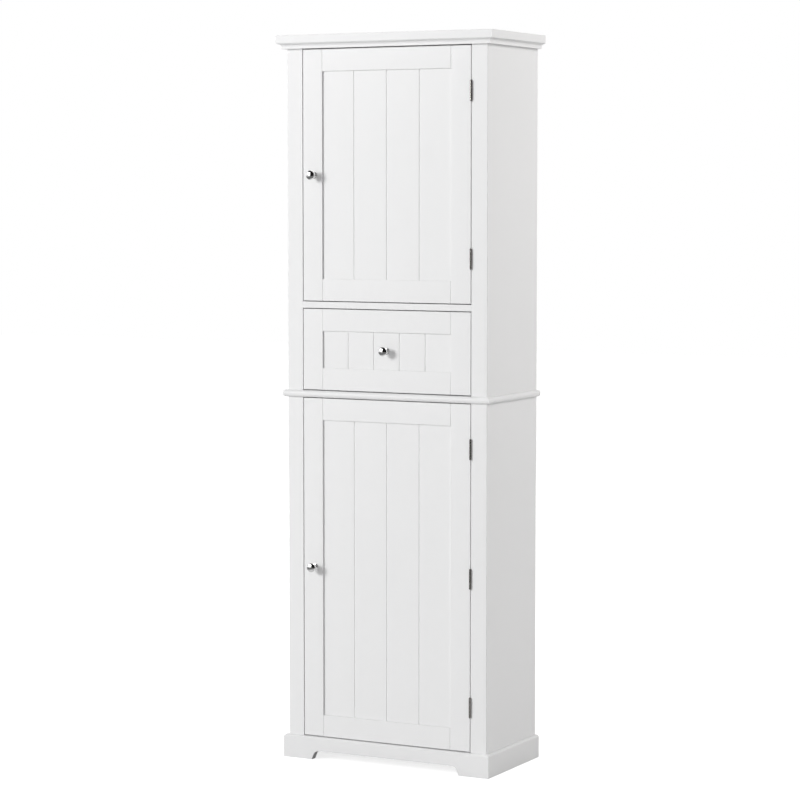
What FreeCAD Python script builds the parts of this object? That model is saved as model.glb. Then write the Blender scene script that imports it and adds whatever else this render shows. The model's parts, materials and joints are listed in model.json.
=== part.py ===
import FreeCAD, Part
import os
import re
import Sketcher
from FreeCAD import Placement, Rotation, Vector

# A tall, painted bathroom cabinet: a lower door, a drawer and an upper door set flush into posts.
# +X is the viewer's right, +Y the wall, +Z up. The origin is on the floor, under the middle of the
# box that holds the whole cabinet, knobs included. Lengths are in millimetres.

SIZES = {
    # carcass
    "carcass_width": 520,
    "carcass_depth": 265,
    "side_thickness": 15,
    "post_width": 40,
    "post_thickness": 18,
    "post_edge_round": 1.5,
    "back_thickness": 4,
    "back_rabbet": 7,
    "back_clearance": 0.3,
    # heights from the floor up
    "base_height": 54,
    "lower_door_height": 800,
    "waist_thickness": 16,
    "drawer_front_height": 189,
    "divider_thickness": 15,
    "upper_door_height": 583,
    "top_panel_thickness": 12,
    "crown_thickness": 19,
    "face_reveal": 2,
    # trim that stands out from the carcass
    "crown_overhang": 20,
    "crown_edge_round": 1.5,
    "molding_top_reach": 17,
    "molding_foot_reach": 10,
    "molding_lip": 1,
    "molding_cove": 6.5,
    "cove_land": 0.4,
    "waist_overhang": 10,
    "bullnose_flat": 0.4,
    "base_overhang": 10,
    "base_thickness": 18,
    "base_bevel": 4,
    "foot_width": 76,
    "foot_slant": 9,
    "foot_round": 14,
    "arch_height": 21,
    "bottom_thickness": 15,
    # framed fronts
    "door_thickness": 18,
    "frame_width": 51,
    "panel_recess": 4,
    "panel_thickness": 6,
    "tongue_length": 8,
    "groove_clearance": 0.5,
    "door_bead_pitch": 85,
    "drawer_bead_pitch": 67,
    "bead_width": 3,
    "bead_depth": 1.6,
    # knobs
    "knob_reach": 25,
    "knob_head_radius": 11,
    "knob_head_thickness": 10,
    "knob_neck_radius": 3.8,
    "knob_neck_flare": 2,
    "knob_flange_radius": 8,
    "knob_flange_thickness": 2,
    "knob_inset": 30,
    "upper_knob_rise": 292,
    "lower_knob_rise": 402,
    "screw_radius": 1.95,
    "screw_clearance": 0.05,
    "screw_grip": 9,
    "screw_end_clearance": 1,
    "screw_head_radius": 4,
    "screw_head_thickness": 2.4,
    # butt hinges
    "leaf_height": 45,
    "leaf_gap": 0.2,
    "leaf_depth": 15,
    "leaf_hole_radius": 1.8,
    "leaf_hole_spacing": 28,
    "knuckle_radius": 2.4,
    "knuckle_gap": 0.2,
    "knuckle_bite": 1,
    "swing_clearance": 0.3,
    "barrel_standoff": 0.2,
    "pin_radius": 1,
    "pin_clearance": 0.05,
    "pin_tip_radius": 1.9,
    "pin_tip_height": 1.8,
    "upper_hinge_inset": 102,
    "lower_hinge_inset": 103,
    # shelves
    "shelf_thickness": 15,
    "shelf_side_clearance": 0.5,
    "shelf_setback": 5,
    "shelf_back_clearance": 2,
    "shelf_pin_radius": 2.4,
    "shelf_pin_length": 16,
    "shelf_pin_depth": 8,
    "shelf_pin_clearance": 0.1,
    "pin_row_inset": 37,
    "pin_row_pitch": 32,
    "lower_row_margin": 150,
    "upper_row_margin": 130,
    # drawer box and runners
    "drawer_side_thickness": 12,
    "drawer_side_height": 140,
    "drawer_back_clearance": 23,
    "drawer_lift": 12,
    "drawer_bottom_thickness": 4,
    "drawer_bottom_rise": 10,
    "drawer_groove_depth": 6,
    "runner_width": 12.5,
    "runner_height": 35,
    "runner_metal": 1.2,
    "runner_mouth": 9,
    "runner_lip": 3,
    "runner_rise": 40,
    "runner_setback": 2,
    "runner_end_clearance": 4,
    "rail_height": 21.6,
    "rail_depth": 10,
    "runner_block_height": 60,
    "ball_clearance": 0.15,
    "ball_pocket_clearance": 0.05,
    "ball_pitch": 14,
    "cage_length": 66,
    "cage_metal": 0.5,
    "cage_gap": 0.25,
    # small fittings
    "strike_width": 28,
    "strike_height": 12,
    "strike_thickness": 1,
    "catch_width": 44,
    "catch_height": 13,
    "catch_depth": 15,
    "catch_inset": 12,
    "catch_clearance": 0.3,
    "cam_radius": 7.4,
    "cam_depth": 11,
    "cam_clearance": 0.1,
    "cam_inset": 34,
    "bracket_width": 40,
    "bracket_leg": 38,
    "bracket_metal": 1.5,
    "bracket_hole_rise": 10,
    "wall_screw_radius": 2.75,
}

KNUCKLE_COUNT = 5
BALL_COUNT = 5
DOOR_BEAD_COUNT = 3
DRAWER_BEAD_COUNT = 4
# Where the shelves stand, as shares of a row of pin holes.
UPPER_SHELF_PLACES = (0.5,)
LOWER_SHELF_PLACES = (0.2, 0.72)

# Planes of the cabinet, as formulas of the sizes.
LEFT = "(-carcass_width / 2)"
RIGHT = "(carcass_width / 2)"
FACE = "((knob_reach - carcass_depth) / 2)"
BACK = f"({FACE} + carcass_depth)"
DOOR_BACK = f"({FACE} + door_thickness)"
POST_BACK = f"({FACE} + post_thickness)"
INSIDE_FRONT = f"({FACE} + max(door_thickness; post_thickness))"
PANEL_FRONT = f"({BACK} - back_thickness)"
SIDE_IN_LEFT = f"({LEFT} + side_thickness)"
SIDE_IN_RIGHT = f"({RIGHT} - side_thickness)"
POST_IN_LEFT = f"({LEFT} + post_width)"
POST_IN_RIGHT = f"({RIGHT} - post_width)"
FRONT_LEFT = f"({POST_IN_LEFT} + face_reveal)"
FRONT_WIDTH = "(carcass_width - 2 * post_width - 2 * face_reveal)"
LOWER_DOOR_Z = "(base_height + face_reveal)"
WAIST_Z = f"({LOWER_DOOR_Z} + lower_door_height + face_reveal)"
WAIST_TOP = f"({WAIST_Z} + waist_thickness)"
DRAWER_Z = f"({WAIST_TOP} + face_reveal)"
DIVIDER_Z = f"({DRAWER_Z} + drawer_front_height + face_reveal)"
DIVIDER_TOP = f"({DIVIDER_Z} + divider_thickness)"
UPPER_DOOR_Z = f"({DIVIDER_TOP} + face_reveal)"
TOP_PANEL_Z = f"({UPPER_DOOR_Z} + upper_door_height + face_reveal)"
CROWN_Z = f"({TOP_PANEL_Z} + top_panel_thickness)"
UPPER_HEIGHT = f"({CROWN_Z} - {WAIST_TOP})"
LOWER_HEIGHT = f"({WAIST_Z} - base_height)"
LOWER_ROW_Z = "(base_height + lower_row_margin)"
UPPER_ROW_Z = f"({DIVIDER_TOP} + upper_row_margin)"
LOWER_ROW_LENGTH = f"({LOWER_HEIGHT} - 2 * lower_row_margin)"
UPPER_ROW_LENGTH = f"({TOP_PANEL_Z} - {DIVIDER_TOP} - 2 * upper_row_margin)"
BASE_INSET = "(base_thickness - base_overhang)"

doc = FreeCAD.newDocument("TallBathroomCabinet")
sheet = doc.addObject("Spreadsheet::Sheet", "Sizes")
for row, (alias, size) in enumerate(SIZES.items(), start=1):
    sheet.set(f"A{row}", alias)
    sheet.set(f"B{row}", str(size))
    sheet.setAlias(f"B{row}", alias)
doc.recompute()

pieces = []


def formula(text):
    """Puts the sheet's name before each size in a formula."""
    return re.sub(r"[a-z]+(?:_[a-z]+)+", lambda word: "Sizes." + word.group(), str(text))


def bind(thing, prop, text):
    thing.setExpression(prop, formula(text))


def number(text):
    return float(sheet.evalExpression(formula(text)))


def place(thing, x, y, z, turn=None):
    """Puts a piece's own origin at a point, turned about it first."""
    if turn is not None:
        thing.Placement = Placement(Vector(), turn)
    for axis, text in zip("xyz", (x, y, z)):
        bind(thing, f".Placement.Base.{axis}", text)


def finish(thing, label):
    """Names a finished piece and adds it to the cabinet."""
    thing.Label = label
    pieces.append(thing)
    return thing


# Plain solids and booleans

def box(name, x, y, z, length, width, height):
    thing = doc.addObject("Part::Box", name)
    for prop, text in (("Length", length), ("Width", width), ("Height", height)):
        bind(thing, prop, text)
    place(thing, x, y, z)
    return thing


UPRIGHT = Rotation()
ALONG_X = Rotation(Vector(0, 1, 0), 90)
ALONG_Y = Rotation(Vector(1, 0, 0), -90)
HALF_TURN = Rotation(Vector(0, 0, 1), 180)
QUARTER_LEFT = Rotation(Vector(0, 0, 1), 90)
QUARTER_RIGHT = Rotation(Vector(0, 0, 1), -90)


def cylinder(name, x, y, z, radius, length, turn=UPRIGHT):
    thing = doc.addObject("Part::Cylinder", name)
    bind(thing, "Radius", radius)
    bind(thing, "Height", length)
    place(thing, x, y, z, turn)
    return thing


def sphere(name, x, y, z, radius):
    thing = doc.addObject("Part::Sphere", name)
    bind(thing, "Radius", radius)
    place(thing, x, y, z)
    return thing


def group(name, members):
    thing = doc.addObject("Part::Compound", name)
    thing.Links = members
    return thing


def fuse(name, members):
    thing = doc.addObject("Part::MultiFuse", name)
    thing.Shapes = members
    return thing


def cut(name, base, tools):
    thing = doc.addObject("Part::Cut", name)
    thing.Base = base
    thing.Tool = tools[0] if len(tools) == 1 else group(name + "_tools", tools)
    return thing


# Sketched features

def new_body(name):
    return doc.addObject("PartDesign::Body", name + "_body")


def new_sketch(body, name, plane, offset=None):
    sketch = body.newObject("Sketcher::SketchObject", name)
    support = next(part for part in body.Origin.OriginFeatures if part.Role == plane)
    sketch.AttachmentSupport = (support, [""])
    sketch.MapMode = "FlatFace"
    if offset is not None:
        bind(sketch, ".AttachmentOffset.Base.z", offset)
    return sketch


def fix_point(sketch, index, end, x, y):
    """Ties one end of an edge, or a circle's centre, to two formulas."""
    for kind, text, axis in (("DistanceX", x, -2), ("DistanceY", y, -1)):
        if text == "0":
            sketch.addConstraint(Sketcher.Constraint("PointOnObject", index, end, axis))
        else:
            at = sketch.addConstraint(Sketcher.Constraint(kind, -1, 1, index, end, number(text)))
            bind(sketch, f"Constraints[{at}]", text)


def draw_outline(sketch, points):
    """Draws a closed outline with straight edges through points given as pairs of formulas."""
    corners = [Vector(number(x), number(y), 0) for x, y in points]
    count = len(points)
    first = sketch.GeometryCount
    for i in range(count):
        sketch.addGeometry(Part.LineSegment(corners[i], corners[(i + 1) % count]))
    for i in range(count):
        after = first + (i + 1) % count
        sketch.addConstraint(Sketcher.Constraint("Coincident", first + i, 2, after, 1))
    for i, (x, y) in enumerate(points):
        fix_point(sketch, first + i, 1, x, y)


def draw_circle(sketch, x, y, radius):
    centre = Vector(number(x), number(y), 0)
    index = sketch.addGeometry(Part.Circle(centre, Vector(0, 0, 1), number(radius)))
    fix_point(sketch, index, 3, x, y)
    at = sketch.addConstraint(Sketcher.Constraint("Radius", index, number(radius)))
    bind(sketch, f"Constraints[{at}]", radius)


def pad(body, sketch, length, reverse=False):
    feature = body.newObject("PartDesign::Pad", sketch.Name + "_pad")
    feature.Profile = sketch
    feature.Reversed = reverse
    bind(feature, "Length", length)
    doc.recompute()
    return feature


def pocket(body, sketch, depth=None, reverse=False):
    """Cuts a sketch into the body, to a depth or through all of it, and checks that it took something."""
    before = body.Shape.Volume
    feature = body.newObject("PartDesign::Pocket", sketch.Name + "_pocket")
    feature.Profile = sketch
    feature.Reversed = reverse
    if depth is None:
        feature.Type = "ThroughAll"
    else:
        bind(feature, "Length", depth)
    doc.recompute()
    if body.Shape.Volume >= before:
        raise RuntimeError(f"{sketch.Name} cuts nothing")
    return feature


def repeat(body, feature, axis, count, pitch):
    """Repeats a feature along one of its sketch's axes."""
    pattern = body.newObject("PartDesign::LinearPattern", feature.Name + "_row")
    pattern.Originals = [feature]
    pattern.Direction = (feature.Profile[0], [axis])
    pattern.Occurrences = count
    bind(pattern, "Length", f"({count} - 1) * {pitch}")
    body.Tip = pattern
    doc.recompute()
    return pattern


def dress(body, kind, wanted, size):
    """Rounds or bevels the body's edges whose middle point passes a test."""
    base = body.Tip
    names = []
    for i, edge in enumerate(base.Shape.Edges, start=1):
        middle = edge.valueAt((edge.FirstParameter + edge.LastParameter) / 2)
        if wanted(middle):
            names.append(f"Edge{i}")
    feature = body.newObject("PartDesign::" + kind, f"{body.Name}_{kind.lower()}")
    feature.Base = (base, names)
    bind(feature, "Radius" if kind == "Fillet" else "Size", size)
    body.Tip = feature
    doc.recompute()
    return feature


NEAR = 0.01


def near(a, b):
    return abs(a - b) < NEAR


def rectangle(width, height):
    return (("0", "0"), (width, "0"), (width, height), ("0", height))


def board(name, points, thickness):
    """A board that lies flat: an outline seen from above, and its thickness."""
    body = new_body(name)
    sketch = new_sketch(body, name + "_outline", "XY_Plane")
    draw_outline(sketch, points)
    pad(body, sketch, thickness)
    return body


# Crown, waist and base

def is_outer_rim(width, height):
    """Picks the long edges of a top board's front and two sides, and leaves those at the wall."""
    def wanted(point):
        level = near(point.z, 0) or near(point.z, number(height))
        rim = near(point.x, 0) or near(point.x, number(width)) or near(point.y, 0)
        return level and rim
    return wanted


def overhanging_board(name, overhang, thickness, edge_round, z):
    width = f"(carcass_width + 2 * {overhang})"
    body = board(name, rectangle(width, f"carcass_depth + {overhang}"), thickness)
    dress(body, "Fillet", is_outer_rim(width, thickness), edge_round)
    place(body, f"{LEFT} - {overhang}", f"{FACE} - {overhang}", z)
    return finish(body, name)


def trim(name, profile, reach, run, mitres):
    """A length of trim along +X with its outer side towards +Y, mitred at the ends named."""
    body = new_body(name)
    sketch = new_sketch(body, name + "_profile", "YZ_Plane")
    draw_outline(sketch, profile)
    pad(body, sketch, run)
    corners = {
        "start": (("0", "0"), (reach, "0"), ("0", reach)),
        "end": ((run, "0"), (run, reach), (f"{run} - {reach}", "0")),
    }
    for end in mitres:
        sketch = new_sketch(body, f"{name}_mitre_{end}", "XY_Plane")
        draw_outline(sketch, corners[end])
        pocket(body, sketch, reverse=True)
    return body


FRONT_RUN = "(carcass_width + 2 * {})"
SIDE_RUN = "(carcass_depth + {})"


def crown_molding():
    """A coved molding under the crown, round the front and both sides."""
    height = "top_panel_thickness"
    reach = "molding_top_reach"
    step = f"({height} - molding_lip)"
    profile = (("0", "0"), ("molding_foot_reach", "0"), ("molding_foot_reach", step),
               (reach, step), (reach, height), ("0", height))

    cove = f"min(molding_cove; {reach} - molding_foot_reach - cove_land; {step} - cove_land)"

    def is_cove(point):
        return near(point.y, number("molding_foot_reach")) and near(point.z, number(step))

    runs = (
        ("front", FRONT_RUN, ("start", "end"), f"{RIGHT} + {reach}", FACE, HALF_TURN),
        ("left", SIDE_RUN, ("start",), LEFT, f"{FACE} - {reach}", QUARTER_LEFT),
        ("right", SIDE_RUN, ("end",), RIGHT, BACK, QUARTER_RIGHT),
    )
    for side, run, mitres, x, y, turn in runs:
        body = trim("crown_molding_" + side, profile, reach, run.format(reach), mitres)
        dress(body, "Fillet", is_cove, cove)
        place(body, x, y, TOP_PANEL_Z, turn)
        finish(body, "crown_molding_" + side)


def base_boards():
    """Three mitred boards round the foot of the cabinet, the front one arched between its feet."""
    reach = "base_thickness"
    profile = rectangle(reach, "base_height")

    def is_top_outer_edge(point):
        return near(point.y, number(reach)) and near(point.z, number("base_height"))

    runs = (
        ("front", FRONT_RUN, ("start", "end"), f"{RIGHT} + base_overhang", f"{FACE} + {BASE_INSET}",
         HALF_TURN),
        ("left", SIDE_RUN, ("start",), f"{LEFT} + {BASE_INSET}", f"{FACE} - base_overhang", QUARTER_LEFT),
        ("right", SIDE_RUN, ("end",), f"{RIGHT} - {BASE_INSET}", BACK, QUARTER_RIGHT),
    )
    for side, run, mitres, x, y, turn in runs:
        name = "base_" + side
        length = run.format("base_overhang")
        body = trim(name, profile, reach, length, mitres)
        dress(body, "Chamfer", is_top_outer_edge, "base_bevel")
        if side == "front":
            cut_arch(body, length)
        place(body, x, y, "0", turn)
        finish(body, name)
    finish(box("base_back_board", f"{LEFT} + {BASE_INSET}", f"{BACK} - base_thickness", "0",
               f"carcass_width - 2 * {BASE_INSET}", "base_thickness", "base_height - bottom_thickness"),
           "base_back")


def cut_arch(body, length):
    """The low arch under the front board, with slanted feet and rounded shoulders."""
    far_foot = f"({length} - foot_width)"
    sketch = new_sketch(body, "base_arch", "XZ_Plane")
    draw_outline(sketch, (
        ("foot_width", "0"), (far_foot, "0"), (f"{far_foot} - foot_slant", "arch_height"),
        ("foot_width + foot_slant", "arch_height")))
    pocket(body, sketch)

    def is_shoulder(point):
        at_foot = near(point.x, number("foot_width + foot_slant"))
        at_far_foot = near(point.x, number(f"{far_foot} - foot_slant"))
        return near(point.z, number("arch_height")) and (at_foot or at_far_foot)

    dress(body, "Fillet", is_shoulder, "foot_round")


# Carcass boards

def bored(body, name, left, spots, radius, depth):
    """Blind round holes in a side panel's inner face, at spots given as (y, z) formulas."""
    sketch = new_sketch(body, name, "YZ_Plane", "side_thickness" if left else "0")
    for y, z in spots:
        draw_circle(sketch, y, z, radius)
    return pocket(body, sketch, depth, reverse=not left)


def hole_count(row_length):
    """How many pin holes fit in a row, at the standard pitch."""
    return int(number(row_length) // number("pin_row_pitch")) + 1


def side_panel(name, left, z, height, row_z, row_length):
    """A side panel behind its post, rabbeted for the back and bored for shelf pins and cams."""
    depth = "(carcass_depth - post_thickness)"
    shelf = f"({depth} - back_thickness)"
    lip = "(side_thickness - back_rabbet)"
    if left:
        points = (("0", "0"), ("side_thickness", "0"), ("side_thickness", shelf), (lip, shelf),
                  (lip, depth), ("0", depth))
    else:
        points = (("0", "0"), ("side_thickness", "0"), ("side_thickness", depth),
                  ("back_rabbet", depth), ("back_rabbet", shelf), ("0", shelf))
    body = board(name, points, height)
    columns = ("pin_row_inset", f"{shelf} - pin_row_inset")
    pin_spots = [(y, f"{row_z} - {z}") for y in columns]
    row = bored(body, name + "_pin_holes", left, pin_spots, "shelf_pin_radius + shelf_pin_clearance",
                "shelf_pin_depth")
    repeat(body, row, "V_Axis", hole_count(row_length), "pin_row_pitch")
    cam_spots = [(y, cam_z) for y in columns for cam_z in ("cam_inset", f"{height} - cam_inset")]
    bored(body, name + "_cam_holes", left, cam_spots, "cam_radius + cam_clearance", "cam_depth")
    place(body, LEFT if left else SIDE_IN_RIGHT, POST_BACK, z)
    finish(body, name)


def post(name, left, z, height):
    """A face post whose outer front edge is eased."""
    body = board(name, rectangle("post_width", "post_thickness"), height)
    edge_x = 0 if left else number("post_width")
    middle_z = number(height) / 2
    dress(body, "Fillet", lambda point: near(point.x, edge_x) and near(point.y, 0)
          and near(point.z, middle_z), "post_edge_round")
    place(body, LEFT if left else POST_IN_RIGHT, FACE, z)
    finish(body, name)


def notched_board(name, thickness, z):
    """A board between the side panels whose front comes forward between the posts."""
    width = "(carcass_width - 2 * side_thickness)"
    notch = "(post_width - side_thickness)"
    depth = "(carcass_depth - back_thickness)"
    points = ((notch, "0"), (f"{width} - {notch}", "0"), (f"{width} - {notch}", "post_thickness"),
              (width, "post_thickness"), (width, depth), ("0", depth), ("0", "post_thickness"),
              (notch, "post_thickness"))
    body = board(name, points, thickness)
    place(body, SIDE_IN_LEFT, FACE, z)
    finish(body, name)


BRACKET_HOLE_Z = f"({TOP_PANEL_Z} - bracket_leg + bracket_hole_rise)"


def wall_screw_hole(name):
    return cylinder(name, "0", f"{BACK} - carcass_depth / 2", BRACKET_HOLE_Z, "wall_screw_radius",
                    "carcass_depth", ALONG_Y)


def back_panel(name, z, height, with_hole):
    width = "(carcass_width - 2 * side_thickness + 2 * back_rabbet - 2 * back_clearance)"
    blank = box(name + "_blank", f"{SIDE_IN_LEFT} - back_rabbet + back_clearance", PANEL_FRONT, z,
                width, "back_thickness", height)
    if with_hole:
        blank = cut(name + "_bored", blank, [wall_screw_hole(name + "_hole")])
    finish(blank, name)


def carcass():
    overhanging_board("crown_slab", "crown_overhang", "crown_thickness", "crown_edge_round", CROWN_Z)
    crown_molding()
    for left, side in ((True, "left"), (False, "right")):
        side_panel("upper_side_" + side, left, WAIST_TOP, UPPER_HEIGHT, UPPER_ROW_Z, UPPER_ROW_LENGTH)
        side_panel("lower_side_" + side, left, "base_height", LOWER_HEIGHT, LOWER_ROW_Z,
                   LOWER_ROW_LENGTH)
        post("upper_post_" + side, left, WAIST_TOP, UPPER_HEIGHT)
        post("lower_post_" + side, left, "base_height", LOWER_HEIGHT)
    notched_board("top_panel", "top_panel_thickness", TOP_PANEL_Z)
    notched_board("divider_board", "divider_thickness", DIVIDER_Z)
    overhanging_board("waist_board", "waist_overhang", "waist_thickness",
                      "waist_thickness / 2 - bullnose_flat", WAIST_Z)
    finish(box("bottom_board", f"{LEFT} + {BASE_INSET}", f"{FACE} + {BASE_INSET}",
               "base_height - bottom_thickness", f"carcass_width - 2 * {BASE_INSET}",
               f"carcass_depth - {BASE_INSET}", "bottom_thickness"), "bottom_panel")
    back_panel("upper_back_panel", WAIST_TOP, UPPER_HEIGHT, True)
    back_panel("lower_back_panel", "base_height", LOWER_HEIGHT, False)
    base_boards()


# Shelves

def shelves():
    """Loose shelves, each on four pins in the side panels' rows of holes."""
    pins = []
    for level, row_z, row_length, places in (
            ("lower", LOWER_ROW_Z, LOWER_ROW_LENGTH, LOWER_SHELF_PLACES),
            ("upper", UPPER_ROW_Z, UPPER_ROW_LENGTH, UPPER_SHELF_PLACES)):
        boards = []
        for place_in_row in places:
            hole = round((hole_count(row_length) - 1) * place_in_row)
            z = f"({row_z} + {hole} * pin_row_pitch)"
            name = f"{level}_shelf_{hole}"
            boards.append(box(
                name, f"{SIDE_IN_LEFT} + shelf_side_clearance", f"{INSIDE_FRONT} + shelf_setback",
                f"{z} + shelf_pin_radius",
                "carcass_width - 2 * side_thickness - 2 * shelf_side_clearance",
                f"{PANEL_FRONT} - {INSIDE_FRONT} - shelf_setback - shelf_back_clearance",
                "shelf_thickness"))
            for row, y in (("front", f"{POST_BACK} + pin_row_inset"),
                           ("rear", f"{PANEL_FRONT} - pin_row_inset")):
                for side, x in (("left", f"{SIDE_IN_LEFT} - shelf_pin_depth"),
                                ("right", f"{SIDE_IN_RIGHT} + shelf_pin_depth - shelf_pin_length")):
                    pins.append(cylinder(f"{name}_pin_{row}_{side}", x, y, z, "shelf_pin_radius",
                                         "shelf_pin_length", ALONG_X))
        if len(boards) == 1:
            finish(boards[0], level + "_shelf")
        else:
            finish(group(level + "_shelf_set", boards), level + "_shelves")
    finish(group("shelf_pin_set", pins), "shelf_pins")


# Framed fronts: two stiles, two rails and a beaded panel held in grooves

KNOB_X = f"({FRONT_LEFT} + knob_inset)"
DRAWER_KNOB_RISE = "(drawer_front_height / 2)"


def framed_front(prefix, z, height, pitch, grooves, knob_rise):
    """A flush front of stiles, rails and a beaded panel.

    A door has its knob on the left stile, knob_rise above its foot. A drawer, with knob_rise None,
    has it in the middle of the panel.
    """
    inner_width = f"({FRONT_WIDTH} - 2 * frame_width)"
    inner_height = f"({height} - 2 * frame_width)"
    groove_y = f"{FACE} + panel_recess"
    right_stile_x = f"({FRONT_LEFT} + {FRONT_WIDTH} - frame_width)"
    stiles = []
    for side, x, groove_x in (("left", FRONT_LEFT, f"{FRONT_LEFT} + frame_width - tongue_length"),
                              ("right", right_stile_x, right_stile_x)):
        name = f"{prefix}_{side}_stile"
        blank = box(name + "_blank", x, FACE, z, "frame_width", "door_thickness", height)
        tools = [box(name + "_groove", groove_x, groove_y, z, "tongue_length", "panel_thickness", height)]
        if side == "left" and knob_rise is not None:
            tools.append(cylinder(name + "_knob_hole", KNOB_X, FACE, f"{z} + {knob_rise}",
                                  "screw_radius + screw_clearance", "door_thickness", ALONG_Y))
        stiles.append(cut(name + "_cut", blank, tools))
    if knob_rise is None:
        finish(group(prefix + "_stile_pair", stiles), prefix + "_stiles")
    else:
        finish(stiles[0], prefix + "_knob_stile")
        finish(stiles[1], prefix + "_hinge_stile")
    rails = []
    top_rail_z = f"({z} + {height} - frame_width)"
    for end, rail_z, groove_z in (("bottom", z, f"{z} + frame_width - tongue_length"),
                                  ("top", top_rail_z, top_rail_z)):
        name = f"{prefix}_{end}_rail"
        middle = box(name + "_middle", f"{FRONT_LEFT} + frame_width", FACE, rail_z, inner_width,
                     "door_thickness", "frame_width")
        tongue = box(name + "_tongue", f"{FRONT_LEFT} + frame_width - tongue_length + groove_clearance",
                     groove_y, rail_z, f"{inner_width} + 2 * (tongue_length - groove_clearance)",
                     "panel_thickness", "frame_width")
        groove = box(name + "_groove", f"{FRONT_LEFT} + frame_width - tongue_length", groove_y, groove_z,
                     f"{inner_width} + 2 * tongue_length", "panel_thickness", "tongue_length")
        rails.append(cut(name + "_cut", fuse(name + "_blank", [middle, tongue]), [groove]))
    finish(group(prefix + "_rail_pair", rails), prefix + "_rails")

    hidden = "(tongue_length - groove_clearance)"
    width = f"({inner_width} + 2 * {hidden})"
    body = board(prefix + "_panel", rectangle(width, "panel_thickness"), f"{inner_height} + 2 * {hidden}")
    first = f"({width} / 2 - ({grooves} - 1) / 2 * {pitch})"
    sketch = new_sketch(body, prefix + "_bead", "XY_Plane")
    draw_outline(sketch, ((f"{first} - bead_width / 2", "0"), (f"{first} + bead_width / 2", "0"),
                          (first, "bead_depth")))
    bead = pocket(body, sketch, reverse=True)
    repeat(body, bead, "H_Axis", grooves, pitch)
    if knob_rise is None:
        sketch = new_sketch(body, prefix + "_knob_hole", "XZ_Plane")
        draw_circle(sketch, f"{width} / 2", f"{DRAWER_KNOB_RISE} - frame_width + {hidden}",
                    "screw_radius + screw_clearance")
        pocket(body, sketch)
    place(body, f"{FRONT_LEFT} + frame_width - {hidden}", groove_y, f"{z} + frame_width - {hidden}")
    finish(body, prefix + "_panel")


def knob(name, x, y, z, board_thickness):
    """A mushroom knob with a flange and a necked stem, and the screw that holds it from behind."""
    under_head = "(knob_reach - knob_head_thickness / 2)"
    flange = cylinder(name + "_flange", x, f"{y} - knob_flange_thickness", z, "knob_flange_radius",
                      "knob_flange_thickness", ALONG_Y)
    neck = doc.addObject("Part::Cone", name + "_neck")
    bind(neck, "Radius1", "knob_neck_radius + knob_neck_flare")
    bind(neck, "Radius2", "knob_neck_radius")
    bind(neck, "Height", under_head)
    place(neck, x, y, z, Rotation(Vector(1, 0, 0), 90))
    head = doc.addObject("Part::Ellipsoid", name + "_head")
    bind(head, "Radius1", "knob_head_thickness / 2")
    bind(head, "Radius2", "knob_head_radius")
    bind(head, "Radius3", "knob_head_radius")
    place(head, x, f"{y} - {under_head}", z, ALONG_Y)
    bore = cylinder(name + "_bore", x, f"{y} - screw_grip - screw_end_clearance", z,
                    "screw_radius + screw_clearance", "screw_grip + screw_end_clearance", ALONG_Y)
    finish(cut(name + "_turned", fuse(name + "_blank", [flange, neck, head]), [bore]), name)
    shank = cylinder(name + "_screw_shank", x, f"{y} - screw_grip", z, "screw_radius",
                     f"screw_grip + {board_thickness} + screw_head_thickness / 2", ALONG_Y)
    cap = cylinder(name + "_screw_cap", x, f"{y} + {board_thickness}", z, "screw_head_radius",
                   "screw_head_thickness", ALONG_Y)
    finish(fuse(name + "_screw_turned", [shank, cap]), name + "_screw")


# Butt hinges: leaves in the gap, barrel in front of the face

HINGE_X = f"({POST_IN_RIGHT} - face_reveal / 2)"
HINGE_Y = f"({FACE} - barrel_standoff - knuckle_radius)"
KNUCKLE_HEIGHT = f"((leaf_height - ({KNUCKLE_COUNT} - 1) * knuckle_gap) / {KNUCKLE_COUNT})"
LEAF_THICKNESS = "((face_reveal - leaf_gap) / 2)"


def barrel_part(name, z, radius, length):
    """A cylinder on a hinge's axis."""
    return cylinder(name, HINGE_X, HINGE_Y, z, radius, length)


def hinge_leaf(name, centre_z, x, knuckles):
    """One leaf: a plate in the gap with screw holes, and the knuckles that it carries."""
    low = f"({centre_z} - leaf_height / 2)"
    plate_y = f"({HINGE_Y} + knuckle_radius + swing_clearance)"
    members = [box(name + "_plate", x, plate_y, low, LEAF_THICKNESS, f"{FACE} + leaf_depth - {plate_y}",
                   "leaf_height")]
    for i in knuckles:
        z = f"({low} + {i} * ({KNUCKLE_HEIGHT} + knuckle_gap))"
        members.append(barrel_part(f"{name}_knuckle_{i}", z, "knuckle_radius", KNUCKLE_HEIGHT))
        members.append(box(f"{name}_neck_{i}", x, f"{HINGE_Y} + knuckle_radius - knuckle_bite", z,
                           LEAF_THICKNESS, "2 * knuckle_bite + swing_clearance", KNUCKLE_HEIGHT))
    tools = [barrel_part(name + "_pin_hole", low, "pin_radius + pin_clearance", "leaf_height")]
    for end, sign in (("low", "-"), ("high", "+")):
        tools.append(cylinder(f"{name}_screw_hole_{end}", x, f"{FACE} + leaf_depth / 2",
                              f"{centre_z} {sign} leaf_hole_spacing / 2", "leaf_hole_radius",
                              LEAF_THICKNESS, ALONG_X))
    return cut(name + "_leaf", fuse(name + "_blank", members), tools)


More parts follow.
